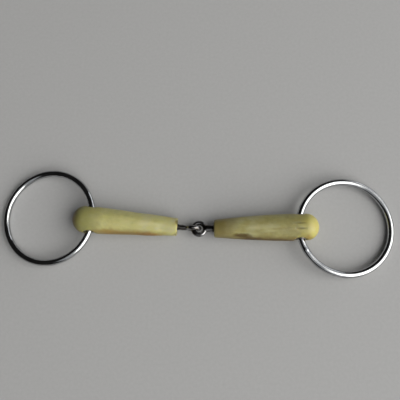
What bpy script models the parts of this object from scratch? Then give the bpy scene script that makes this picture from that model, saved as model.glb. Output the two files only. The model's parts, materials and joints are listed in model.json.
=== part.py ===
"""Loose-ring jointed snaffle bit with moulded mouthpiece sleeves, as it lies on a flat surface.

Each half of the mouthpiece is a steel core inside a moulded sleeve. The two cores end in eyes that are
linked through each other, one upright and one flat. A steel bush lines the cross hole near each outer
end, and a welded round-wire ring runs loosely through it. Units are metres, +Z is up, and the surface
that the bit lies on is Z = 0. The origin is the middle of the footprint.
"""

import math

import bmesh
import bpy
from mathutils import Matrix, Vector

MM = 0.001
GAP = 0.3 * MM

# Rings, of round wire
RING_OUTER_DIAMETER = 66.4 * MM
WIRE_RADIUS = 2.2 * MM
RING_RADIUS = RING_OUTER_DIAMETER / 2 - WIRE_RADIUS

# Linked eyes at the middle, one passing through the other
EYE_WIRE_RADIUS = 1.55 * MM
EYE_RADIUS = 3.95 * MM
EYE_OUTER_RADIUS = EYE_RADIUS + EYE_WIRE_RADIUS

# Bush that lines each ring hole, and the core's boss around it
BUSH_INNER_RADIUS = 3.2 * MM
BUSH_OUTER_RADIUS = 4.2 * MM
BUSH_LENGTH = 16.0 * MM
BUSH_FLARE = 0.5 * MM
BOSS_RADIUS = 6.5 * MM
BOSS_WIDTH = 9.0 * MM

# Sleeve, along the half's axis from the ring hole
BULB_LENGTH = 12.5 * MM
JOINT_END_RADIUS = 5.85 * MM
RIM_ROUNDING = 1.0 * MM
HOLE_RADIUS = BUSH_OUTER_RADIUS + GAP
MOUTH_RADIUS = 5.2 * MM
MOUTH_DEPTH = 2.0 * MM
CUTTER_REACH = 2.0 * MM
BELLY_FLAT = 4.0 * MM

# Core shank, with collars that hold the sleeve on
SHANK_RADIUS = 2.6 * MM
NECK_RADIUS = 2.0 * MM
NECK_START = 0.6 * MM
COLLAR_RADIUS = 3.8 * MM
COLLAR_WIDTH = 2.5 * MM
COLLAR_COUNT = 3
COLLAR_INSET = 6.0 * MM
ROOT_DEPTH = 1.4 * MM
BORE_OVERRUN = 2.0 * MM

# Each half: the distances from its ring hole to the pivot and to the sleeve's joint end, the sleeve's
# widest radius, how far from the hole its taper starts, the taper's exponent, and the place of its eye
LEFT = {
    "side": "left",
    "hole": 73.0 * MM,
    "sleeve": 58.4 * MM,
    "belly": 9.2 * MM,
    "belly_end": 0.0,
    "taper": 1.15,
    "eye_centre": EYE_RADIUS,
    "eye_upright": True,
}
RIGHT = {
    "side": "right",
    "hole": 66.5 * MM,
    "sleeve": 56.4 * MM,
    "belly": 8.9 * MM,
    "belly_end": 7.5 * MM,
    "taper": 1.6,
    "eye_centre": 0.0,
    "eye_upright": False,
}

# How the bit lies: a slight fold at the middle, each half's belly and each ring's far side on the surface
REST_FOLD = math.radians(4.9)
PIVOT_HEIGHT = 6.0 * MM

# Facet counts round each shape
RING_STEPS = 64
WIRE_STEPS = 12
SLEEVE_STEPS = 30
SHANK_STEPS = 16
EYE_STEPS = 32
BORE_STEPS = 32
BULB_ROWS = 6
TAPER_ROWS = 9
RIM_ROWS = 2


def clear_scene():
    for obj in list(bpy.data.objects):
        bpy.data.objects.remove(obj, do_unlink=True)


def material(name, colour, roughness, metallic):
    made = bpy.data.materials.new(name)
    made.use_nodes = True
    shader = made.node_tree.nodes["Principled BSDF"]
    shader.inputs["Base Color"].default_value = (*colour, 1.0)
    shader.inputs["Roughness"].default_value = roughness
    shader.inputs["Metallic"].default_value = metallic
    return made


def new_object(name, bm, smooth_angle=math.radians(35)):
    """Turns a bmesh into an object whose faces all point outwards."""
    bmesh.ops.recalc_face_normals(bm, faces=bm.faces)
    mesh = bpy.data.meshes.new(name)
    bm.to_mesh(mesh)
    bm.free()
    mesh.shade_smooth()
    mesh.set_sharp_from_angle(angle=smooth_angle)
    obj = bpy.data.objects.new(name, mesh)
    bpy.context.scene.collection.objects.link(obj)
    return obj


def revolved(name, profile, steps, closed_profile=False):
    """Turns (along, radius) points about the local X axis, with a flat at the top and at the bottom."""
    bm = bmesh.new()
    half_step = math.pi / steps
    points = [
        bm.verts.new((along, radius * math.sin(half_step), radius * math.cos(half_step)))
        for along, radius in profile
    ]
    pairs = list(zip(points, points[1:]))
    if closed_profile:
        pairs.append((points[-1], points[0]))
    edges = [bm.edges.new(pair) for pair in pairs]
    bmesh.ops.spin(
        bm, geom=points + edges, cent=(0, 0, 0), axis=(1, 0, 0), angle=math.tau, steps=steps, use_merge=True
    )
    bmesh.ops.remove_doubles(bm, verts=bm.verts, dist=1e-6)
    return new_object(name, bm)


def turned_ring(name, radius, wire_radius, steps, wire_steps):
    """A round-wire ring about the local Z axis, with a flat facet centred on its inner and outer equator."""
    bm = bmesh.new()
    half_step = math.pi / wire_steps
    section = [
        bm.verts.new(
            (
                radius + wire_radius * math.cos(half_step + math.tau * i / wire_steps),
                0.0,
                wire_radius * math.sin(half_step + math.tau * i / wire_steps),
            )
        )
        for i in range(wire_steps)
    ]
    edges = [bm.edges.new((section[i - 1], section[i])) for i in range(wire_steps)]
    start = Matrix.Rotation(math.pi / steps, 4, "Z")
    bmesh.ops.transform(bm, matrix=start, verts=section)
    bmesh.ops.spin(
        bm, geom=section + edges, cent=(0, 0, 0), axis=(0, 0, 1), angle=math.tau, steps=steps, use_merge=True
    )
    bmesh.ops.remove_doubles(bm, verts=bm.verts, dist=1e-6)
    return new_object(name, bm)


def place(obj, parent, location=(0, 0, 0), rotation=(0, 0, 0)):
    obj.parent = parent
    obj.location = location
    obj.rotation_euler = rotation
    return obj


def new_empty(name, location, rotation):
    """An empty that carries a half, or that stands on a ring's swing axis."""
    empty = bpy.data.objects.new(name, None)
    bpy.context.scene.collection.objects.link(empty)
    return place(empty, None, location, rotation)


def boolean(obj, other, operation):
    modifier = obj.modifiers.new(f"{operation.lower()}_{other.name}", "BOOLEAN")
    modifier.operation = operation
    modifier.object = other
    modifier.solver = "EXACT"
    other.hide_render = True
    other.display_type = "WIRE"


def ring_offset():
    """How far the wire's middle stands past the bush's axis, so that its arc is centred in the bush."""
    half = BUSH_LENGTH / 2
    return (RING_RADIUS - math.sqrt(RING_RADIUS**2 - half**2)) / 2


def sleeve_radius(half, from_hole):
    """The sleeve's outer radius at a distance from the ring hole towards the joint."""
    share = (from_hole - half["belly_end"]) / (half["sleeve"] - half["belly_end"])
    share = max(0.0, share)
    return half["belly"] - (half["belly"] - JOINT_END_RADIUS) * share ** half["taper"]


def sleeve_profile(half):
    """The outline from the bulb's tip to the middle of the joint end, as (along the half, radius)."""
    hole, end = half["hole"], half["hole"] - half["sleeve"]
    centre = hole + BULB_LENGTH - half["belly"]
    bulb = [
        (centre + half["belly"] * math.cos(a), half["belly"] * math.sin(a))
        for a in (math.pi / 2 * i / BULB_ROWS for i in range(BULB_ROWS + 1))
    ]
    first = hole - BELLY_FLAT
    last = end + RIM_ROUNDING
    taper = []
    for i in range(TAPER_ROWS):
        along = first + (last - first) * i / (TAPER_ROWS - 1)
        taper.append((along, sleeve_radius(half, hole - along)))
    rim_radius = taper[-1][1] - RIM_ROUNDING
    rim = [
        (last - RIM_ROUNDING * math.sin(a), rim_radius + RIM_ROUNDING * math.cos(a))
        for a in (math.pi / 2 * i / RIM_ROWS for i in range(1, RIM_ROWS + 1))
    ]
    return bulb + taper + rim + [(end, 0.0)]


def half_pitch(half):
    """The slope of a half's axis at which the flat along the sleeve's underside just meets the surface."""
    slopes = []
    for along, radius in sleeve_profile(half):
        depth = radius * math.cos(math.pi / SLEEVE_STEPS)
        slopes.append(math.atan2(depth, along) - math.asin(PIVOT_HEIGHT / math.hypot(along, depth)))
    return max(slopes)


def ring_droop(half):
    """The slope of a ring's plane, whose far side rests on the surface."""
    hole_height = PIVOT_HEIGHT + half["hole"] * math.sin(half_pitch(half))
    return math.asin((hole_height - WIRE_RADIUS) / (2 * RING_RADIUS - ring_offset()))


def shank_profile(half, spare=0.0):
    """The core's shank from inside the boss to inside the eye, grown by spare for the sleeve's bore."""
    boss_side = half["hole"] - BOSS_RADIUS + ROOT_DEPTH
    end = half["hole"] - half["sleeve"]
    eye_side = half["eye_centre"] + EYE_OUTER_RADIUS - ROOT_DEPTH
    profile = [(boss_side, SHANK_RADIUS)]
    first = half["hole"] - BOSS_RADIUS - COLLAR_INSET
    pitch = (first - end - 2 * COLLAR_INSET) / (COLLAR_COUNT - 1)
    for i in range(COLLAR_COUNT):
        middle = first - i * pitch
        profile += [
            (middle + COLLAR_WIDTH, SHANK_RADIUS),
            (middle + COLLAR_WIDTH / 2, COLLAR_RADIUS),
            (middle - COLLAR_WIDTH / 2, COLLAR_RADIUS),
            (middle - COLLAR_WIDTH, SHANK_RADIUS),
        ]
    if spare:
        profile.append((end - BORE_OVERRUN, SHANK_RADIUS))
    else:
        profile += [(end - NECK_START, SHANK_RADIUS), (eye_side, NECK_RADIUS)]
    outline = [(along, radius + spare) for along, radius in profile]
    return [(outline[0][0], 0.0)] + outline + [(outline[-1][0], 0.0)]


def make_core(half, frame, steel):
    side = half["side"]
    core = place(revolved(f"{side}_core", shank_profile(half), SHANK_STEPS), frame)
    eye = turned_ring(f"{side}_eye_form", EYE_RADIUS, EYE_WIRE_RADIUS, EYE_STEPS, WIRE_STEPS)
    turn = (math.pi / 2, 0, 0) if half["eye_upright"] else (0, 0, 0)
    place(eye, frame, (half["eye_centre"], 0, 0), turn)
    half_width = BOSS_WIDTH / 2
    boss_outline = [
        (-half_width, HOLE_RADIUS),
        (half_width, HOLE_RADIUS),
        (half_width, BOSS_RADIUS),
        (-half_width, BOSS_RADIUS),
    ]
    boss = revolved(f"{side}_boss_form", boss_outline, BORE_STEPS, closed_profile=True)
    place(boss, frame, (half["hole"], 0, 0), (0, 0, math.pi / 2))
    boolean(core, eye, "UNION")
    boolean(core, boss, "UNION")
    core.data.materials.append(steel)
    return core


def make_sleeve(half, frame, plastic):
    side = half["side"]
    sleeve = place(revolved(f"{side}_sleeve", sleeve_profile(half), SLEEVE_STEPS), frame)
    reach = half["belly"] + CUTTER_REACH
    mouth = half["belly"] - MOUTH_DEPTH
    outside_radius = MOUTH_RADIUS + (MOUTH_RADIUS - HOLE_RADIUS) * CUTTER_REACH / MOUTH_DEPTH
    hole_outline = [
        (-reach, 0.0),
        (-reach, outside_radius),
        (-mouth, HOLE_RADIUS),
        (mouth, HOLE_RADIUS),
        (reach, outside_radius),
        (reach, 0.0),
    ]
    hole = revolved(f"{side}_hole_cutter", hole_outline, BORE_STEPS)
    pocket_half = BOSS_WIDTH / 2 + GAP
    pocket_outline = [
        (-pocket_half, 0.0),
        (-pocket_half, BOSS_RADIUS + GAP),
        (pocket_half, BOSS_RADIUS + GAP),
        (pocket_half, 0.0),
    ]
    pocket = revolved(f"{side}_pocket_cutter", pocket_outline, BORE_STEPS)
    for cutter in (hole, pocket):
        place(cutter, frame, (half["hole"], 0, 0), (0, 0, math.pi / 2))
        boolean(sleeve, cutter, "DIFFERENCE")
    bore = place(revolved(f"{side}_bore_cutter", shank_profile(half, GAP), SHANK_STEPS), frame)
    boolean(sleeve, bore, "DIFFERENCE")
    sleeve.data.materials.append(plastic)
    return sleeve


def make_bush(half, frame, steel):
    half_length = BUSH_LENGTH / 2
    outline = [
        (-half_length, BUSH_INNER_RADIUS + BUSH_FLARE),
        (-half_length + BUSH_FLARE, BUSH_INNER_RADIUS),
        (half_length - BUSH_FLARE, BUSH_INNER_RADIUS),
        (half_length, BUSH_INNER_RADIUS + BUSH_FLARE),
        (half_length, BUSH_OUTER_RADIUS),
        (-half_length, BUSH_OUTER_RADIUS),
    ]
    bush = revolved(f"{half['side']}_ring_bush", outline, BORE_STEPS, closed_profile=True)
    place(bush, frame, (half["hole"], 0, 0), (0, 0, math.pi / 2))
    bush.data.materials.append(steel)
    return bush


def make_ring(half, frame, heading, steel):
    hole = frame @ Vector((half["hole"], 0, 0))
    swing = new_empty(f"{half['side']}_ring_swing", hole, (0, ring_droop(half), heading))
    ring = turned_ring(f"{half['side']}_ring", RING_RADIUS, WIRE_RADIUS, RING_STEPS, WIRE_STEPS)
    place(ring, swing, (RING_RADIUS - ring_offset(), 0, 0))
    ring.data.materials.append(steel)
    return ring


def ring_far_point(half, heading, across):
    """Where a ring's outside is furthest from the pivot, along X, or off the axis along Y if across is set."""
    flat = math.cos(ring_droop(half)) * (RING_RADIUS - ring_offset())
    centre = half["hole"] * math.cos(half_pitch(half)) + flat
    outside = RING_RADIUS + WIRE_RADIUS
    if across:
        return centre * math.sin(heading), outside
    return centre * math.cos(heading), outside * math.cos(ring_droop(half))


def footprint_middle(headings):
    """The middle of the whole footprint, measured from the pivot."""
    (left_x, left_out), (right_x, right_out) = (
        ring_far_point(half, heading, False) for half, heading in headings
    )
    (left_y, reach), (right_y, _) = (ring_far_point(half, heading, True) for half, heading in headings)
    across = (max(left_y, right_y) + reach + min(left_y, right_y) - reach) / 2
    return (left_x - left_out + right_x + right_out) / 2, across


def main():
    clear_scene()
    ring_steel = material("ring_steel", (0.62, 0.62, 0.63), 0.12, 1.0)
    core_steel = material("core_steel", (0.30, 0.30, 0.31), 0.30, 1.0)
    bush_steel = material("bush_steel", (0.45, 0.45, 0.46), 0.35, 1.0)
    plastic = material("sleeve_plastic", (0.42, 0.39, 0.17), 0.42, 0.0)
    headings = ((LEFT, math.pi - REST_FOLD / 2), (RIGHT, REST_FOLD / 2))
    middle_x, middle_y = footprint_middle(headings)
    pivot = Vector((-middle_x, -middle_y, PIVOT_HEIGHT))
    for half, heading in headings:
        side = half["side"]
        turn = (0, -half_pitch(half), heading)
        frame = new_empty(f"{side}_half", pivot, turn)
        make_core(half, frame, core_steel)
        make_sleeve(half, frame, plastic)
        make_bush(half, frame, bush_steel)
        placed = Matrix.Translation(pivot) @ frame.rotation_euler.to_matrix().to_4x4()
        make_ring(half, placed, heading, ring_steel)


main()
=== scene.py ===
# %% [markdown]
# # A loose-ring snaffle bit
# A snaffle is the plainest bit of a bridle. Two steel halves meet at a pair of linked eyes in the horse's
# mouth, and each half is covered with a moulded plastic sleeve. A steel ring runs loosely through the outer
# end of each half, and the bridle and the rein buckle to it. The frame holds the plain parts in their places
# with their joints, and this lesson makes the finished surfaces around them.

# %% Load the frame
import json
import math

import bpy
import numpy as np
from mathutils import Matrix, Vector


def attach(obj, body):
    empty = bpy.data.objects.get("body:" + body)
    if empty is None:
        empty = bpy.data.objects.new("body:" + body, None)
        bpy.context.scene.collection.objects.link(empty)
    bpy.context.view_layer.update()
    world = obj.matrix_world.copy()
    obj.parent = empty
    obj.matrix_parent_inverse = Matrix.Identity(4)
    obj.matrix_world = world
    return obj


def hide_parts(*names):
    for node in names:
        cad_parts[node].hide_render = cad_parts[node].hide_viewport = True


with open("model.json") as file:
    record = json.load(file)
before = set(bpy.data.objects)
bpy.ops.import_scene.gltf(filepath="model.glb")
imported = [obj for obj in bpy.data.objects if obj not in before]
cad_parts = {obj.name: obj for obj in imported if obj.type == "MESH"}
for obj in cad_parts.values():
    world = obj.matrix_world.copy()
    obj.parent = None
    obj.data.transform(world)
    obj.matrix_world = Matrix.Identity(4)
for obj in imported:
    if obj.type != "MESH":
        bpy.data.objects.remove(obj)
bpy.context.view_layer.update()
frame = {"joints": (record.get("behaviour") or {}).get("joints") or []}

MM = 0.001

# %% [markdown]
# ## Where things are
# Every place is read from the joints. The fold is where the linked eyes turn, each swing is about the cross
# hole that a ring runs through, and each spin is about the ring's own middle. From these points come two
# small coordinate systems for each side. In a half's own system, X runs out from the fold along the half, Y
# along the cross hole and Z up. In a ring's, X points to the far side of the ring and Z out of its plane.

# %% Coordinate systems of the halves and the rings
JOINTS = {joint["name"]: joint for joint in frame["joints"]}
SIDES = ("left", "right")


def joint_point(name):
    return Vector(JOINTS[name]["pos_m"])


def coordinate_system(origin, x_axis, z_axis):
    """A matrix whose X is exactly x_axis and whose Z is as near z_axis as it can be."""
    x_axis = x_axis.normalized()
    y_axis = z_axis.cross(x_axis).normalized()
    turn = Matrix((x_axis, y_axis, x_axis.cross(y_axis))).transposed()
    return Matrix.Translation(origin) @ turn.to_4x4()


PIVOT = joint_point("centre_fold")
HOLE = {side: joint_point(f"{side}_ring_swing") for side in SIDES}
HALF = {side: coordinate_system(PIVOT, HOLE[side] - PIVOT, Vector((0, 0, 1))) for side in SIDES}
HOLE_AT = {side: (HOLE[side] - PIVOT).length for side in SIDES}
RING = {}
for side in SIDES:
    middle = joint_point(f"{side}_ring_spin")
    RING[side] = coordinate_system(middle, middle - HOLE[side], Vector(JOINTS[f"{side}_ring_spin"]["axis"]))
    print(side, "cross hole is", round(HOLE_AT[side] / MM, 1), "mm from the fold")

# %% [markdown]
# ## The camera
# The bit lies on the floor and is seen from almost straight above, a third of a metre away. The camera leans
# a little, so the nearer ring looks slightly the larger. The plain Standard view keeps the picked colours as
# they are and lets the steel run from black to white.

# %% Camera
CAMERA_PLACE = (0.02145, -0.05804, 0.33631)
CAMERA_TURN = [math.radians(a) for a in (12.66, 2.66, 2.39)]
CAMERA_LENS = 44.92
CAMERA_SENSOR = 36.0
bpy.ops.object.camera_add(location=CAMERA_PLACE, rotation=CAMERA_TURN)
camera = bpy.context.object
camera.name = "camera_above"
camera.data.lens = CAMERA_LENS
camera.data.sensor_width = CAMERA_SENSOR
bpy.context.scene.camera = camera
bpy.context.scene.view_settings.view_transform = "Standard"
print("camera height in mm:", round(camera.location.z / MM))

# %% [markdown]
# ## Floor and light
# Polished steel has no colour of its own. It shows the room, so the lights are chosen for their reflections.
# A big soft window stands to the right and a little towards the viewer, with hazy daylight behind it: a sun
# lamp as wide as the window, which lights the floor evenly as far as one sees. They draw a white line along
# each wire, and the rest of the room stays dark, which leaves the rest of the wire dark. Two dimmer panels
# soften the window's edges. The same light falls along the sleeves and into their ends. The floor is plain,
# pale and matt, and only the lowest few degrees of the room are as pale as the floor.

# %% Floor
FLOOR_SIZE = 40.0
bpy.ops.object.select_all(action="DESELECT")
bpy.ops.mesh.primitive_plane_add(size=FLOOR_SIZE, location=(0, 0, 0))
floor = bpy.context.object
floor.name = "floor"
print("floor, in metres:", round(floor.dimensions.x), "by", round(floor.dimensions.y))

# %% Lights
LIT_POINT = Vector((0.04, 0.0, 0.0))
SUN_PLACE = (0.86, -0.33, 0.56)
SUN_WIDTH = math.radians(72)
SUN_STRENGTH = 2.9
DAYLIGHT_TINT = (1.0, 0.985, 0.95)
SHADE_TINT = (0.95, 0.97, 1.0)


def turned_from(place):
    """The turn that points a lamp from a place to the lit point."""
    return (LIT_POINT - Vector(place)).to_track_quat("-Z", "Y").to_euler()


def soft_light(name, place, size, power, tint):
    """An oblong area light at a place, turned to face the lit point."""
    bpy.ops.object.light_add(type="AREA", location=place, rotation=turned_from(place))
    light = bpy.context.object
    light.name = name
    light.data.shape = "RECTANGLE"
    light.data.size, light.data.size_y = size
    light.data.energy = power
    light.data.color = tint


soft_light("window", (0.76, -0.28, 0.76), (1.75, 0.95), 5.0, DAYLIGHT_TINT)
soft_light("window_surround", (0.66, -0.60, 1.00), (2.6, 2.3), 8.0, SHADE_TINT)
soft_light("far_wall", (1.90, 1.50, 0.70), (1.8, 1.3), 9.0, SHADE_TINT)
bpy.ops.object.light_add(type="SUN", location=SUN_PLACE, rotation=turned_from(SUN_PLACE))
daylight = bpy.context.object
daylight.name = "hazy_daylight"
daylight.data.angle = SUN_WIDTH
daylight.data.energy = SUN_STRENGTH
daylight.data.color = DAYLIGHT_TINT

# %% [markdown]
# ## Small tools for shaping
# A turned shape can be made with a spin or with a Screw modifier. Here a circle is extruded along the axis
# and scaled at each step, as one would by hand, because the outline can then come from a formula and the
# section can be flattened on the way. Every piece is shaped in its half's or its ring's own system, then
# moved to its place once, at the end, and its place is applied, so the object itself sits at the origin.

# %% Shaping tools
SAME_POINT = 0.01 * MM


def only(piece):
    """Leaves one piece selected and active, in object mode."""
    bpy.ops.object.select_all(action="DESELECT")
    piece.select_set(True)
    bpy.context.view_layer.objects.active = piece
    return piece


def draw_along(name, stations, steps, closed=False):
    """Extrudes an ellipse along X through stations of (along, half width in Y, half height in Z)."""
    bpy.ops.object.select_all(action="DESELECT")
    along, wide, high = stations[0]
    bpy.ops.mesh.primitive_circle_add(
        vertices=steps, radius=1.0, fill_type="NOTHING" if closed else "NGON", rotation=(0, math.pi / 2, 0)
    )
    piece = bpy.context.object
    piece.name = name
    bpy.ops.object.transform_apply(location=True, rotation=True, scale=True)
    bpy.ops.object.mode_set(mode="EDIT")
    bpy.ops.mesh.select_all(action="SELECT")
    bpy.ops.transform.resize(value=(1, wide, high), center_override=(0, 0, 0))
    bpy.ops.transform.translate(value=(along, 0, 0))
    for next_along, next_wide, next_high in stations[1:]:
        bpy.ops.mesh.extrude_region_move(TRANSFORM_OT_translate={"value": (next_along - along, 0, 0)})
        ratio = (1, next_wide / wide, next_high / high)
        bpy.ops.transform.resize(value=ratio, center_override=(next_along, 0, 0))
        along, wide, high = next_along, next_wide, next_high
    bpy.ops.mesh.select_all(action="SELECT")
    if closed:
        bpy.ops.mesh.remove_doubles(threshold=SAME_POINT)
    bpy.ops.mesh.normals_make_consistent(inside=False)
    bpy.ops.object.mode_set(mode="OBJECT")
    return piece


def round_stations(outline):
    return [(along, radius, radius) for along, radius in outline]


def stand(piece, matrix):
    """Moves a piece by a matrix and applies it, so that its place is in its mesh."""
    only(piece).matrix_world = matrix @ piece.matrix_world
    bpy.ops.object.transform_apply(location=True, rotation=True, scale=True)
    return piece


def apply_modifier(piece, kind, **settings):
    modifier = only(piece).modifiers.new(kind.lower(), kind)
    for setting, value in settings.items():
        setattr(modifier, setting, value)
    bpy.ops.object.modifier_apply(modifier=modifier.name)


def cut(piece, cutter):
    apply_modifier(piece, "BOOLEAN", operation="DIFFERENCE", object=cutter, solver="EXACT")
    bpy.data.objects.remove(cutter, do_unlink=True)


def join(pieces):
    only(pieces[0])
    for piece in pieces:
        piece.select_set(True)
    bpy.ops.object.join()
    return pieces[0]


def places(piece):
    """The piece's vertices as rows of x, y, z."""
    flat = np.empty(len(piece.data.vertices) * 3)
    piece.data.vertices.foreach_get("co", flat)
    return flat.reshape(-1, 3)


def near_line(spots, start, end, width):
    """Which of the spots lie within a width of a straight line, which may be as short as one point."""
    start, run = np.array(start), np.array(end) - np.array(start)
    length_squared = max(run @ run, SAME_POINT**2)
    share = np.clip((spots - start) @ run / length_squared, 0, 1)
    return np.linalg.norm(spots - start - share[:, None] * run, axis=1) < width


def swell(piece, chosen, height, reach=0.0):
    """Moves the chosen vertices out by a height, or in if it is negative, with a soft edge of some reach."""
    only(piece)
    bpy.ops.object.mode_set(mode="EDIT")
    bpy.ops.mesh.select_mode(type="VERT")
    bpy.ops.mesh.select_all(action="DESELECT")
    bpy.ops.object.mode_set(mode="OBJECT")
    piece.data.vertices.foreach_set("select", chosen)
    bpy.ops.object.mode_set(mode="EDIT")
    soft = {}
    if reach:
        soft = {"use_proportional_edit": True, "use_proportional_connected": True,
                "proportional_edit_falloff": "SMOOTH", "proportional_size": reach}
    bpy.ops.transform.shrink_fatten(value=height, **soft)
    bpy.ops.object.mode_set(mode="OBJECT")
    print("moved", int(chosen.sum()), "vertices of", piece.name, "by", round(height / MM, 2), "mm")


def finish_piece(piece, body, node, material):
    """Shades a piece smooth, gives it its finish, hides the plain part it stands for, and hangs it on the
    body it moves with.
    """
    only(piece)
    bpy.ops.object.shade_smooth()
    piece.data.materials.clear()
    piece.data.materials.append(material)
    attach(piece, body)
    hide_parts(node)
    print(piece.name, "has", sum(len(p.vertices) - 2 for p in piece.data.polygons), "triangles")


# %% [markdown]
# ## Small tools for finishes
# Colours are picked as they look on a screen, and one function turns them to the linear values that light
# adds up in. Patterns are set by real sizes: a noise texture has about one blob for each unit of its scale,
# so a blob of 12 mm is a scale of one over 0.012.

# %% Finish tools


def colour(code):
    """Linear red, green and blue from an sRGB hex code."""
    parts = [int(code[i:i + 2], 16) / 255 for i in (1, 3, 5)]
    return [c / 12.92 if c <= 0.04045 else ((c + 0.055) / 1.055) ** 2.4 for c in parts] + [1.0]


def per(size):
    """The texture scale that gives one blob for a size in metres."""
    return 1.0 / size


def add(tree, kind, inputs=None, stops=(), **settings):
    """Adds a node with its settings. An input is a value, or another node's output to link. A colour ramp
    also takes its stops, from low to high, as (position, hex code)."""
    made = tree.nodes.new(kind)
    for setting, value in settings.items():
        setattr(made, setting, value)
    for socket, value in (inputs or {}).items():
        if isinstance(value, bpy.types.NodeSocket):
            tree.links.new(value, made.inputs[socket])
        else:
            made.inputs[socket].default_value = value
    if stops:
        elements = made.color_ramp.elements
        elements[0].position, elements[-1].position = stops[0][0], stops[-1][0]
        for position, _ in stops[1:-1]:
            elements.new(position)
        for element, (_, code) in zip(elements, stops):
            element.color = colour(code)
    return made


def new_finish(name):
    """An empty material, its node tree and its shader."""
    material = bpy.data.materials.new(name)
    material.use_nodes = True
    return material, material.node_tree, material.node_tree.nodes["Principled BSDF"]


# %% The dark room
PALE_BELOW = math.radians(3)
DARK_ABOVE = math.radians(10)
room = bpy.data.worlds.new("dark_room")
room.use_nodes = True
facing = add(room.node_tree, "ShaderNodeTexCoord").outputs["Generated"]
height = add(room.node_tree, "ShaderNodeSeparateXYZ", {"Vector": facing}).outputs["Z"]
fade = add(room.node_tree, "ShaderNodeMapRange", {
    "Value": height, "From Min": math.sin(PALE_BELOW), "From Max": math.sin(DARK_ABOVE),
    "To Min": 0.24, "To Max": 0.012,
}, interpolation_type="SMOOTHSTEP")
room.node_tree.links.new(fade.outputs["Result"], room.node_tree.nodes["Background"].inputs["Strength"])
room.node_tree.nodes["Background"].inputs["Color"].default_value = (1.0, 0.96, 0.93, 1.0)
bpy.context.scene.world = room

# %% Floor finish, with the paper's grain drawn coarse enough to show
floor_paper, tree, shader = new_finish("pale_matt_paper")
position = add(tree, "ShaderNodeTexCoord").outputs["Object"]
grain = add(tree, "ShaderNodeTexNoise", {"Vector": position, "Scale": per(2 * MM), "Detail": 2.0})
tone = add(tree, "ShaderNodeMapRange", {"Value": grain.outputs["Fac"], "To Min": 0.38, "To Max": 0.43})
tree.links.new(tone.outputs["Result"], shader.inputs["Base Color"])
shader.inputs["Roughness"].default_value = 0.9
shader.inputs["Specular IOR Level"].default_value = 0.2
floor.data.materials.append(floor_paper)

# %% [markdown]
# ## The rings
# A ring is drawn stainless wire, bent round, welded and polished until the weld hardly shows. A torus is the
# natural start. The weld is a slight swelling a few millimetres long, and the metal inside the ring's far
# side is worn a little flat where the straps pull.

# %% Ring sizes
RING_RADIUS = 31.0 * MM
WIRE_RADIUS = 2.2 * MM
WELD_AT = {"left": math.radians(148), "right": math.radians(-151)}
WELD_HALF_LENGTH = 1.3 * MM
WELD_CREST = 0.4 * WELD_HALF_LENGTH
WELD_HEIGHT = 0.10 * MM
STRAP_WEAR = 0.06 * MM
STRAP_WEAR_REACH = 1.2 * MM
STRAP_HALF_ANGLE = math.radians(28)
INSIDE_OF_RING = RING_RADIUS - 0.96 * WIRE_RADIUS

# %% Polished wire finish


def polished_wire():
    """Drawn stainless steel, polished: nearly a mirror, with hairlines that run along the wire. Real ones are
    a few hundredths of a millimetre wide, and these are drawn wider so that they show."""
    material, tree, shader = new_finish("polished_stainless_wire")
    round_uv = add(tree, "ShaderNodeUVMap", uv_map="UVMap").outputs["UV"]
    lengths = (2 * math.pi * RING_RADIUS, 2 * math.pi * WIRE_RADIUS, 1.0)
    along = add(tree, "ShaderNodeMapping", {"Vector": round_uv, "Scale": lengths}).outputs["Vector"]
    drawn_out = add(tree, "ShaderNodeMapping", {"Vector": along, "Scale": (0.06, 1.0, 1.0)}).outputs["Vector"]
    hairlines = add(tree, "ShaderNodeTexNoise", {"Vector": drawn_out, "Scale": per(0.35 * MM), "Detail": 3.0})
    position = add(tree, "ShaderNodeTexCoord").outputs["Object"]
    handling = add(tree, "ShaderNodeTexNoise", {"Vector": position, "Scale": per(7 * MM), "Detail": 4.0})
    nicks = add(tree, "ShaderNodeTexVoronoi", {"Vector": position, "Scale": per(3.2 * MM)})
    nick = add(tree, "ShaderNodeMapRange", {
        "Value": nicks.outputs["Distance"], "From Max": 0.10, "To Min": 1.0, "To Max": 0.0,
    })
    tone = add(tree, "ShaderNodeValToRGB", {
        "Fac": handling.outputs["Fac"],
    }, stops=((0.35, "#abadaf"), (0.70, "#c8c9c9")))
    gloss = add(tree, "ShaderNodeMapRange", {
        "Value": handling.outputs["Fac"], "To Min": 0.07, "To Max": 0.20,
    })
    relief = add(tree, "ShaderNodeMath", {
        0: nick.outputs["Result"], 1: -1.2, 2: hairlines.outputs["Fac"],
    }, operation="MULTIPLY_ADD")
    bump = add(tree, "ShaderNodeBump", {
        "Height": relief.outputs["Value"], "Strength": 0.10, "Distance": 0.05 * MM,
    })
    tree.links.new(tone.outputs["Color"], shader.inputs["Base Color"])
    tree.links.new(gloss.outputs["Result"], shader.inputs["Roughness"])
    tree.links.new(bump.outputs["Normal"], shader.inputs["Normal"])
    shader.inputs["Metallic"].default_value = 1.0
    shader.inputs["Specular Tint"].default_value = (0.72, 0.72, 0.72, 1.0)
    return material


ring_finish = polished_wire()

# %% Make the rings


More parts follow.
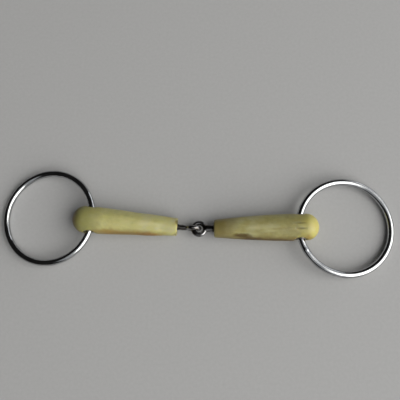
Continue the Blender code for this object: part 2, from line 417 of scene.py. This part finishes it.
def make_ring(side):
    bpy.ops.object.select_all(action="DESELECT")
    bpy.ops.mesh.primitive_torus_add(
        major_radius=RING_RADIUS, minor_radius=WIRE_RADIUS, major_segments=288, minor_segments=36
    )
    ring = bpy.context.object
    ring.name = f"{side}_ring_wire"
    spots = places(ring)
    turn = np.arctan2(spots[:, 1], spots[:, 0])
    from_weld = np.abs((turn - WELD_AT[side] + math.pi) % (2 * math.pi) - math.pi) * RING_RADIUS
    swell(ring, from_weld < WELD_CREST, WELD_HEIGHT, WELD_HALF_LENGTH)
    inner = np.hypot(spots[:, 0], spots[:, 1]) < INSIDE_OF_RING
    swell(ring, inner & (np.abs(turn) < STRAP_HALF_ANGLE), -STRAP_WEAR, STRAP_WEAR_REACH)
    stand(ring, RING[side])
    finish_piece(ring, f"{side}_cheek_ring", f"{side}_ring", ring_finish)


for side in SIDES:
    make_ring(side)

# %% [markdown]
# ## The cores
# Each core is one casting: a boss round the cross hole, a shank with three collars that stop the sleeve from
# sliding, a flattened neck, and the eye. One eye stands upright and the other lies flat, so that they link.
# The parts are drawn on their own and then fused by a voxel remesh, and a smooth pass rounds every inside
# corner as a casting mould does. A Boolean union would leave sharp corners there instead.

# %% Core sizes
EYE_RADIUS = 3.95 * MM
EYE_WIRE = 1.55 * MM
EYE_CENTRE = {"left": EYE_RADIUS, "right": 0.0}
EYE_UPRIGHT = {"left": True, "right": False}
SLEEVE_LENGTH = {"left": 58.4 * MM, "right": 56.4 * MM}
BUSH_OUTER = 4.2 * MM
BUSH_INNER = 3.2 * MM
BUSH_HALF = 8.0 * MM
GAP = 0.3 * MM
BOSS_RADIUS = 6.5 * MM
BOSS_HALF = 4.5 * MM
SHANK_RADIUS = 2.6 * MM
COLLAR_RADIUS = 3.8 * MM
COLLAR_HALF = 1.25 * MM
COLLAR_INSET = 6.0 * MM
COLLAR_COUNT = 3
SHANK_START = 1.5 * MM
SHANK_IN_BOSS = 1.2 * MM
NECK_IN_EYE = 0.5 * MM
NECK_IN_SLEEVE = 2.5 * MM
CORE_VOXEL = 0.2 * MM

# The neck at shares of its length from the eye: half its width in the eye's plane and across it, in mm
NECK_WIDTHS = ((0.0, 2.2, 1.55), (0.15, 2.4, 1.8), (0.6, 2.5, 1.95), (0.85, 2.6, 2.3), (1.0, 2.6, 2.6))

# %% Cast steel finish


def cast_steel():
    """Cast stainless steel, tumbled and never polished in its recesses: satin and pitted, in random patches.
    Its colour is set far darker than bare steel all over: painted shade over the joint where it shows. The
    grain of its skin is drawn a few times coarser than the real one so that it shows."""
    material, tree, shader = new_finish("cast_stainless_steel")
    position = add(tree, "ShaderNodeTexCoord").outputs["Object"]
    skin = add(tree, "ShaderNodeTexNoise", {"Vector": position, "Scale": per(0.5 * MM), "Detail": 5.0})
    patches = add(tree, "ShaderNodeTexNoise", {"Vector": position, "Scale": per(3.0 * MM), "Detail": 4.0})
    pits = add(tree, "ShaderNodeTexVoronoi", {"Vector": position, "Scale": per(0.9 * MM)})
    pit = add(tree, "ShaderNodeMapRange", {
        "Value": pits.outputs["Distance"], "From Max": 0.22, "To Min": 1.0, "To Max": 0.0,
    })
    # A base colour far darker than bare steel: painted shade, in random darker and lighter patches.
    tone = add(tree, "ShaderNodeValToRGB", {
        "Fac": patches.outputs["Fac"],
    }, stops=((0.38, "#57524c"), (0.62, "#9b9b9c")))
    gloss = add(tree, "ShaderNodeMapRange", {"Value": patches.outputs["Fac"], "To Min": 0.10, "To Max": 0.30})
    relief = add(tree, "ShaderNodeMath", {
        0: pit.outputs["Result"], 1: -0.8, 2: skin.outputs["Fac"],
    }, operation="MULTIPLY_ADD")
    bump = add(tree, "ShaderNodeBump", {
        "Height": relief.outputs["Value"], "Strength": 0.35, "Distance": 0.06 * MM,
    })
    tree.links.new(tone.outputs["Color"], shader.inputs["Base Color"])
    tree.links.new(gloss.outputs["Result"], shader.inputs["Roughness"])
    tree.links.new(bump.outputs["Normal"], shader.inputs["Normal"])
    shader.inputs["Metallic"].default_value = 1.0
    return material


core_finish = cast_steel()

# %% Make the cores


def neck_stations(side):
    """The flattened neck from inside the eye's wire to inside the sleeve: narrow across the eye's flat."""
    start = EYE_CENTRE[side] + EYE_RADIUS - NECK_IN_EYE
    end = HOLE_AT[side] - SLEEVE_LENGTH[side] + NECK_IN_SLEEVE
    stations = []
    for share, in_plane, across in NECK_WIDTHS:
        pair = (across * MM, in_plane * MM) if EYE_UPRIGHT[side] else (in_plane * MM, across * MM)
        stations.append((start + (end - start) * share, *pair))
    return stations


def shank_stations(side):
    """The round shank inside the sleeve, with its collars, as far as the boss."""
    joint_end = HOLE_AT[side] - SLEEVE_LENGTH[side]
    boss_end = HOLE_AT[side] - BOSS_RADIUS
    first = joint_end + COLLAR_INSET
    pitch = (boss_end - COLLAR_INSET - first) / (COLLAR_COUNT - 1)
    outline = [(joint_end + SHANK_START, SHANK_RADIUS)]
    for i in range(COLLAR_COUNT):
        centre = first + i * pitch
        outline += [
            (centre - 2 * COLLAR_HALF, SHANK_RADIUS),
            (centre - COLLAR_HALF, COLLAR_RADIUS),
            (centre + COLLAR_HALF, COLLAR_RADIUS),
            (centre + 2 * COLLAR_HALF, SHANK_RADIUS),
        ]
    return round_stations(outline + [(boss_end + SHANK_IN_BOSS, SHANK_RADIUS)])


def make_eye(side):
    bpy.ops.object.select_all(action="DESELECT")
    bpy.ops.mesh.primitive_torus_add(
        major_radius=EYE_RADIUS, minor_radius=EYE_WIRE, major_segments=96, minor_segments=32,
        location=(EYE_CENTRE[side], 0, 0), rotation=(math.pi / 2 if EYE_UPRIGHT[side] else 0, 0, 0),
    )
    eye = bpy.context.object
    bpy.ops.object.transform_apply(location=True, rotation=True, scale=True)
    return eye


def across_hole(piece, side):
    """Turns a piece drawn along X to lie along the cross hole, with its middle on the hole."""
    return stand(piece, Matrix.Translation((HOLE_AT[side], 0, 0)) @ Matrix.Rotation(math.pi / 2, 4, "Z"))


def make_core(side):
    tube = [(-BOSS_HALF, BUSH_OUTER + GAP), (-BOSS_HALF, BOSS_RADIUS), (BOSS_HALF, BOSS_RADIUS),
            (BOSS_HALF, BUSH_OUTER + GAP), (-BOSS_HALF, BUSH_OUTER + GAP)]
    boss = across_hole(draw_along("boss", round_stations(tube), 64, closed=True), side)
    neck = draw_along("neck", neck_stations(side), 32)
    shank = draw_along("shank", shank_stations(side), 32)
    core = join([shank, neck, boss, make_eye(side)])
    core.name = f"{side}_core_casting"
    apply_modifier(core, "REMESH", mode="VOXEL", voxel_size=CORE_VOXEL)
    apply_modifier(core, "SMOOTH", factor=0.5, iterations=5)
    stand(core, HALF[side])
    finish_piece(core, f"{side}_half", f"{side}_core", core_finish)


for side in SIDES:
    make_core(side)

# %% [markdown]
# ## The bushes
# A bush is a short turned tube that lines the cross hole, so that the wire rubs steel and not plastic. Its
# mouths are rolled outwards. Turning leaves fine rings round its bore.

# %% Turned steel finish


def turned_steel():
    """Turned steel: bright, with fine tool lines round the bore. A wave repeats about three times in a unit,
    so a scale for 1.4 mm draws lines 0.4 mm apart, coarser than real ones so that they show."""
    material, tree, shader = new_finish("turned_steel")
    position = add(tree, "ShaderNodeTexCoord").outputs["Object"]
    lines = add(tree, "ShaderNodeTexWave", {
        "Vector": position, "Scale": per(1.4 * MM), "Distortion": 0.6,
    }, bands_direction="Y")
    dirt = add(tree, "ShaderNodeTexNoise", {"Vector": position, "Scale": per(2.5 * MM), "Detail": 4.0})
    tone = add(tree, "ShaderNodeValToRGB", {
        "Fac": dirt.outputs["Fac"],
    }, stops=((0.4, "#6a6257"), (0.65, "#a3a4a5")))
    bump = add(tree, "ShaderNodeBump", {
        "Height": lines.outputs["Fac"], "Strength": 0.2, "Distance": 0.04 * MM,
    })
    tree.links.new(tone.outputs["Color"], shader.inputs["Base Color"])
    tree.links.new(bump.outputs["Normal"], shader.inputs["Normal"])
    shader.inputs["Metallic"].default_value = 1.0
    shader.inputs["Roughness"].default_value = 0.32
    return material


bush_finish = turned_steel()

# %% Make the bushes
BUSH_MOUTH = 0.5 * MM
SHARP_CORNER = math.radians(40)


def bush_outline():
    """Half the bush's section: the bore, a rolled mouth at each end, and the outside."""
    right = []
    for turn in (math.radians(a) for a in (90, 60, 30, 0)):
        along = BUSH_HALF - BUSH_MOUTH + BUSH_MOUTH * math.cos(turn)
        right.append((along, BUSH_INNER + BUSH_MOUTH - BUSH_MOUTH * math.sin(turn)))
    left = [(-along, radius) for along, radius in reversed(right)]
    outside = [(BUSH_HALF, BUSH_OUTER), (-BUSH_HALF, BUSH_OUTER)]
    return left + right + outside + left[:1]


def make_bush(side):
    bush = draw_along(f"{side}_bush_turning", round_stations(bush_outline()), 96, closed=True)
    stand(across_hole(bush, side), HALF[side])
    finish_piece(bush, f"{side}_bush", f"{side}_ring_bush", bush_finish)
    only(bush)
    bpy.ops.object.shade_smooth_by_angle(angle=SHARP_CORNER)


for side in SIDES:
    make_bush(side)

# %% [markdown]
# ## The sleeves
# The sleeves are polyurethane, cast round the cores: a round bulb at the ring, and a taper to the joint. The
# outside is drawn along the axis from a formula. The cross hole, the pocket for the boss and the bore for
# the shank are cut out of it, and a voxel remesh rounds the mouths of the hole like a moulding. Then come
# the mould's parting line and the marks of use, which are real dents in the mesh: shallow bites, a long
# groove that the teeth have worn, and two creases by the cross hole.

# %% Sleeve sizes
BULB_LENGTH = 12.5 * MM
JOINT_END_RADIUS = 5.85 * MM
RIM_ROUNDING = 0.5 * MM
BELLY = {"left": 9.2 * MM, "right": 8.9 * MM}
BELLY_END = {"left": 0.0, "right": 7.5 * MM}
TAPER = {"left": 1.15, "right": 1.6}
RIM_STEPS = 4
TAPER_STEPS = 24
BULB_STEPS = 20
MOUTH_DEPTH = 1.0 * MM
MOUTH_FLARE = 0.4 * MM
PAST_THE_SKIN = 2.0 * MM
BORE_PAST_SHANK = 4.0 * MM
SLEEVE_VOXEL = 0.3 * MM


def sleeve_radius(side, from_hole):
    """The outside radius at a distance from the cross hole towards the joint."""
    share = max(0.0, (from_hole - BELLY_END[side]) / (SLEEVE_LENGTH[side] - BELLY_END[side]))
    return BELLY[side] - (BELLY[side] - JOINT_END_RADIUS) * share ** TAPER[side]


def sleeve_outline(side):
    """The outside from the joint end to the bulb's tip, as (along, radius)."""
    end = HOLE_AT[side] - SLEEVE_LENGTH[side]
    first = end + RIM_ROUNDING
    rim_radius = sleeve_radius(side, SLEEVE_LENGTH[side] - RIM_ROUNDING) - RIM_ROUNDING
    bulb_centre = HOLE_AT[side] + BULB_LENGTH - BELLY[side]
    outline = [(end, rim_radius)]
    for turn in (math.pi / 2 * i / RIM_STEPS for i in range(1, RIM_STEPS + 1)):
        outline.append((first - RIM_ROUNDING * math.cos(turn), rim_radius + RIM_ROUNDING * math.sin(turn)))
    for i in range(1, TAPER_STEPS + 1):
        along = first + (bulb_centre - first) * i / TAPER_STEPS
        outline.append((along, sleeve_radius(side, HOLE_AT[side] - along)))
    for turn in (math.pi / 2 * i / BULB_STEPS for i in range(1, BULB_STEPS)):
        outline.append((bulb_centre + BELLY[side] * math.sin(turn), BELLY[side] * math.cos(turn)))
    return outline


# %% Make the sleeves


def hole_cutter(side):
    """The cross hole, flared a little at its mouths."""
    bore = BUSH_OUTER + GAP
    half = [(BELLY[side] - MOUTH_DEPTH, bore), (BELLY[side] + PAST_THE_SKIN, bore + MOUTH_FLARE)]
    outline = [(-along, radius) for along, radius in reversed(half)] + half
    return across_hole(draw_along("hole_cutter", round_stations(outline), 96), side)


def pocket_cutter(side):
    outline = [(-BOSS_HALF - GAP, BOSS_RADIUS + GAP), (BOSS_HALF + GAP, BOSS_RADIUS + GAP)]
    return across_hole(draw_along("pocket_cutter", round_stations(outline), 96), side)


def bore_cutter(side):
    """The shank's bore, with room for its collars, open at the joint end."""
    stations = shank_stations(side)
    stations[0] = (stations[0][0] - BORE_PAST_SHANK, SHANK_RADIUS, SHANK_RADIUS)
    grown = [(along, wide + GAP, high + GAP) for along, wide, high in stations]
    return draw_along("bore_cutter", grown, 64)


def make_sleeve(side):
    sleeve = draw_along(f"{side}_sleeve_moulding", round_stations(sleeve_outline(side)), 128)
    for cutter in (hole_cutter(side), pocket_cutter(side), bore_cutter(side)):
        cut(sleeve, cutter)
    apply_modifier(sleeve, "REMESH", mode="VOXEL", voxel_size=SLEEVE_VOXEL)
    apply_modifier(sleeve, "SMOOTH", factor=0.5, iterations=6)
    return sleeve


sleeves = {side: make_sleeve(side) for side in SIDES}

# %% [markdown]
# ## Marks on the sleeves
# Each mark is given in its half's own system, in mm: X out from the fold, Y along the cross hole, Z up. On
# the left half Y points to the viewer, and on the right half away. A positive height is a swelling, and a
# negative one a dent. The parting line is where the two halves of the mould met, so it runs along each side.

# %% Marks of the mould and of use

# Each dent: where it starts and ends, its height and how far it fades
DENTS = {
    "left": (
        ((44, -7.2, 1.5), (44, -7.2, 1.5), -0.22, 9), ((34, 6.6, 0), (30, 6.2, 0), 0.30, 7),
        ((19, -2.6, 5.6), (54, -6.6, 5.6), -0.28, 3.2), ((24, 2.5, 6.2), (24, 2.5, 6.2), -0.22, 4),
        ((61, 3.0, 8.2), (58, 1.0, 8.6), -0.18, 5), ((70, -4.0, 8.0), (70, -4.0, 8.0), -0.15, 5),
        ((30, 1.0, -6.8), (48, 3.0, -7.3), -0.25, 5),
    ),
    "right": (
        ((26, -4.6, 4.4), (31, -4.9, 4.6), -0.30, 4), ((33, 0.5, 7.5), (44, 1.0, 8.3), -0.20, 4.5),
        ((20, 3.6, 5.0), (20, 3.6, 5.0), -0.22, 5), ((52, 6.4, 5.2), (56, 6.8, 5.2), -0.20, 6),
        ((58, -5.0, 7.0), (62, -5.0, 7.0), -0.18, 5), ((25, -2.0, -6.4), (45, 2.0, -8.0), -0.25, 5),
    ),
}
DENT_WIDTH = 1.2 * MM
CREASES = {
    "left": (),
    "right": (((63.8, 1.3, 8.8), (69.2, 1.2, 8.8)), ((63.4, -2.2, 8.6), (69.8, -2.2, 8.6))),
}
CREASE_WIDTH = 0.55 * MM
CREASE_DEPTH = 0.16 * MM
PARTING_WIDTH = 0.22 * MM
PARTING_HEIGHT = 0.09 * MM
PARTING_CLEAR_OF_HOLE = BUSH_OUTER + 2.0 * MM
INNERMOST_SKIN = JOINT_END_RADIUS - RIM_ROUNDING


def in_metres(point):
    return [c * MM for c in point]


def mark_sleeve(side):
    sleeve = sleeves[side]
    for start, end, height, reach in DENTS[side]:
        chosen = near_line(places(sleeve), in_metres(start), in_metres(end), DENT_WIDTH)
        swell(sleeve, chosen, height * MM, reach * MM)
    for start, end in CREASES[side]:
        chosen = near_line(places(sleeve), in_metres(start), in_metres(end), CREASE_WIDTH)
        swell(sleeve, chosen, -CREASE_DEPTH)
    spots = places(sleeve)
    outside = np.hypot(spots[:, 1], spots[:, 2]) > INNERMOST_SKIN
    clear_of_hole = np.abs(spots[:, 0] - HOLE_AT[side]) > PARTING_CLEAR_OF_HOLE
    swell(sleeve, outside & clear_of_hole & (np.abs(spots[:, 2]) < PARTING_WIDTH), PARTING_HEIGHT)


for side in SIDES:
    mark_sleeve(side)

# %% [markdown]
# ## The sleeve finish
# Cast polyurethane is waxy and a little see-through: light goes in, spreads a few millimetres and comes out
# yellower, which subsurface scattering does. It yellows unevenly with age and takes stains where saliva
# dries, so the colour is built up in layers: cloudy patches, streaks along the sleeve, brown stains and dirt
# in the creases. Painted light and shade go in as layers too: painted light on the right bulb, painted shade
# on the left bulb and on the joint-end faces, and a pale painted sheen where the window's highlight lies.
# The mapping node turns the pattern into the half's own system, so that each stain sits at a place in
# millimetres.

# %% Stains, painted light and shade, and clouds

# Each stain, in the half's own mm: its middle, half size, colour and strength. A few of them are painted
# shade and one is painted light, as said at each. A patch of painted sheen has the first two.
STAINS = {
    "left": (
        # On the next line both spots darken the left bulb, the end that faces away from the window: painted
        # shade.
        ((76, 0, 0), (14, 22, 22), "#7e7c48", 0.8), ((89, 0, 0), (11, 22, 22), "#67501e", 0.95),
        ((47, 7.8, 1.0), (36, 5.0, 7.0), "#7f6228", 0.85), ((33, 6.5, 1.5), (9, 2.4, 3.5), "#80561f", 0.6),
        # On the next line the second stain darkens the joint-end face: dirt, with painted shade where the
        # face sits in the joint's shadow.
        ((61, 7.8, 4.0), (10, 2.8, 3.5), "#94773a", 0.5), ((13.2, 0, 0), (2.6, 22, 22), "#4a4526", 0.85),
    ),
    "right": (
        # On the next line the first spot brightens the right bulb, the end that faces the window: painted
        # light. The second is dirt near the joint end.
        ((76, 0, 0), (13, 22, 22), "#b5ac60", 0.85), ((12, 0, 0), (16, 22, 22), "#75693a", 0.85),
        # The next stain darkens the lower flank on the viewer's side to brown along most of the sleeve.
        ((45, -8.8, -0.5), (42, 6.0, 8.0), "#5e4a18", 1.0),
        ((28.6, -5.4, 4.2), (8, 2.2, 3.0), "#4e3a0a", 0.9),
        ((35, -7.2, 2.4), (8, 2.2, 3.2), "#4d3a0c", 0.9), ((55, -2.0, 9.0), (10, 1.0, 2.0), "#6b5f30", 0.3),
        # On the next line the second stain darkens the joint-end face: dirt, with painted shade where the
        # face sits in the joint's shadow.
        ((70.6, -7.6, 4.5), (4, 2.6, 4.0), "#8a6c2a", 0.6), ((8.8, 0, 0), (2.6, 22, 22), "#3f3a20", 0.8),
    ),
}
# Patches of painted sheen: pale colour painted where the window's broad highlight lies on each sleeve, given
# as middle and half size. These patches are also made a little rougher.
PAINTED_SHEEN_PATCHES = {
    "left": (((31, 0.6, 7.0), (18, 2.4, 2.6)),),
    "right": (((37.5, -0.8, 7.8), (10, 2.2, 3.0)), ((46, -1.0, 8.2), (9, 4.0, 4.0))),
}
CLOUDS = {
    "left": ("#a5a16b", "#b3af75", "#b0ad80"),
    "right": ("#8f8958", "#9f9964", "#a6a279"),
}
STREAK_COLOUR = "#c4bf8e"
# The colour of the painted sheen.
PAINTED_SHEEN_COLOUR = "#c3be94"
CREASE_DIRT_COLOUR = "#5c5832"
CREASE_DIRT_HALF_SIZE = (4.4, 0.95, 2.0)


def soft_spot(tree, place, middle, half_size):
    """A soft-edged spot, 1 in its middle and 0 past its half size."""
    moved = add(tree, "ShaderNodeMapping", {
        "Vector": place, "Location": in_metres(middle), "Scale": in_metres(half_size),
    }, vector_type="TEXTURE").outputs["Vector"]
    return add(tree, "ShaderNodeTexGradient", {"Vector": moved}, gradient_type="SPHERICAL").outputs["Fac"]


# %% Cast polyurethane


def cast_polyurethane(side):
    """Polyurethane, cast in a mould, then yellowed and stained: a waxy half-gloss with a soft glow inside.
    Its colour also holds painted light and shade: a pale painted sheen, painted light on the right bulb, and
    painted shade on the left bulb and the joint ends. Its fine skin is drawn at 0.9 mm, coarser than the real
    one, so that it shows."""
    material, tree, shader = new_finish(f"cast_polyurethane_{side}")
    position = add(tree, "ShaderNodeTexCoord").outputs["Object"]
    own = add(tree, "ShaderNodeMapping", {
        "Vector": position, "Location": PIVOT, "Rotation": HALF[side].to_euler(),
    }, vector_type="TEXTURE").outputs["Vector"]
    drift = add(tree, "ShaderNodeTexNoise", {"Vector": own, "Scale": per(4 * MM), "Detail": 4.0})
    wander = add(tree, "ShaderNodeVectorMath", {
        0: drift.outputs["Color"], 1: (0.5, 0.5, 0.5),
    }, operation="SUBTRACT")
    ragged = add(tree, "ShaderNodeVectorMath", {
        0: wander.outputs["Vector"], 1: in_metres((6, 3, 3)), 2: own,
    }, operation="MULTIPLY_ADD").outputs["Vector"]

    clouds = add(tree, "ShaderNodeTexNoise", {
        "Vector": own, "Scale": per(11 * MM), "Detail": 4.0, "Roughness": 0.6,
    })
    tone = add(tree, "ShaderNodeValToRGB", {
        "Fac": clouds.outputs["Fac"],
    }, stops=tuple(zip((0.36, 0.5, 0.66), CLOUDS[side])))
    drawn_out = add(tree, "ShaderNodeMapping", {"Vector": own, "Scale": (0.12, 1.0, 1.0)}).outputs["Vector"]
    streaks = add(tree, "ShaderNodeTexNoise", {"Vector": drawn_out, "Scale": per(1.4 * MM), "Detail": 4.0})
    streak = add(tree, "ShaderNodeMapRange", {
        "Value": streaks.outputs["Fac"], "From Min": 0.52, "From Max": 0.72,
    })
    faint = add(tree, "ShaderNodeMath", {0: streak.outputs["Result"], 1: 0.22}, operation="MULTIPLY")
    layers = [(faint.outputs["Value"], STREAK_COLOUR)]
    for middle, half_size, code, strength in STAINS[side]:
        spot = soft_spot(tree, ragged, middle, half_size)
        firm = add(tree, "ShaderNodeMapRange", {"Value": spot, "From Max": 0.6, "To Max": strength})
        layers.append((firm.outputs["Result"], code))

    # The painted sheen: pale colour laid where the window's highlight lies, broken up by the streaks.
    sheen_spots = 0.0
    for middle, half_size in PAINTED_SHEEN_PATCHES[side]:
        spot = soft_spot(tree, ragged, middle, half_size)
        sheen_spots = add(tree, "ShaderNodeMath", {0: spot, 1: sheen_spots}, operation="ADD").outputs["Value"]
    broken = add(tree, "ShaderNodeMath", {0: streaks.outputs["Fac"], 1: sheen_spots}, operation="MULTIPLY")
    painted_sheen = add(tree, "ShaderNodeMapRange", {
        "Value": broken.outputs["Value"], "From Min": 0.08, "From Max": 0.42, "To Max": 0.45,
    })
    layers.append((painted_sheen.outputs["Result"], PAINTED_SHEEN_COLOUR))
    for start, end in CREASES[side]:
        middle = [(a + b) / 2 for a, b in zip(start, end)]
        spot = soft_spot(tree, own, middle, CREASE_DIRT_HALF_SIZE)
        firm = add(tree, "ShaderNodeMapRange", {"Value": spot, "From Max": 0.8, "To Max": 0.62})
        layers.append((firm.outputs["Result"], CREASE_DIRT_COLOUR))

    # A colour mix takes its share at socket 0 and its colours at 6 and 7, and gives its result at 2
    look = tone.outputs["Color"]
    for share, code in layers:
        look = add(tree, "ShaderNodeMix", {0: share, 6: look, 7: colour(code)}, data_type="RGBA").outputs[2]

    gloss = add(tree, "ShaderNodeMapRange", {"Value": clouds.outputs["Fac"], "To Min": 0.34, "To Max": 0.50})
    dulled = add(tree, "ShaderNodeMath", {
        0: painted_sheen.outputs["Result"], 1: 0.18, 2: gloss.outputs["Result"],
    }, operation="MULTIPLY_ADD")
    skin = add(tree, "ShaderNodeTexNoise", {"Vector": own, "Scale": per(0.9 * MM), "Detail": 3.0})
    relief = add(tree, "ShaderNodeMath", {
        0: streaks.outputs["Fac"], 1: 0.8, 2: skin.outputs["Fac"],
    }, operation="MULTIPLY_ADD")
    bump = add(tree, "ShaderNodeBump", {
        "Height": relief.outputs["Value"], "Strength": 0.30, "Distance": 0.06 * MM,
    })
    tree.links.new(look, shader.inputs["Base Color"])
    tree.links.new(dulled.outputs["Value"], shader.inputs["Roughness"])
    tree.links.new(bump.outputs["Normal"], shader.inputs["Normal"])
    shader.inputs["IOR"].default_value = 1.5
    shader.inputs["Subsurface Weight"].default_value = 0.7
    shader.inputs["Subsurface Radius"].default_value = (1.0, 0.75, 0.30)
    shader.inputs["Subsurface Scale"].default_value = 3.5 * MM
    return material


# %% Finish the sleeves
for side in SIDES:
    stand(sleeves[side], HALF[side])
    finish_piece(sleeves[side], f"{side}_half", f"{side}_sleeve", cast_polyurethane(side))
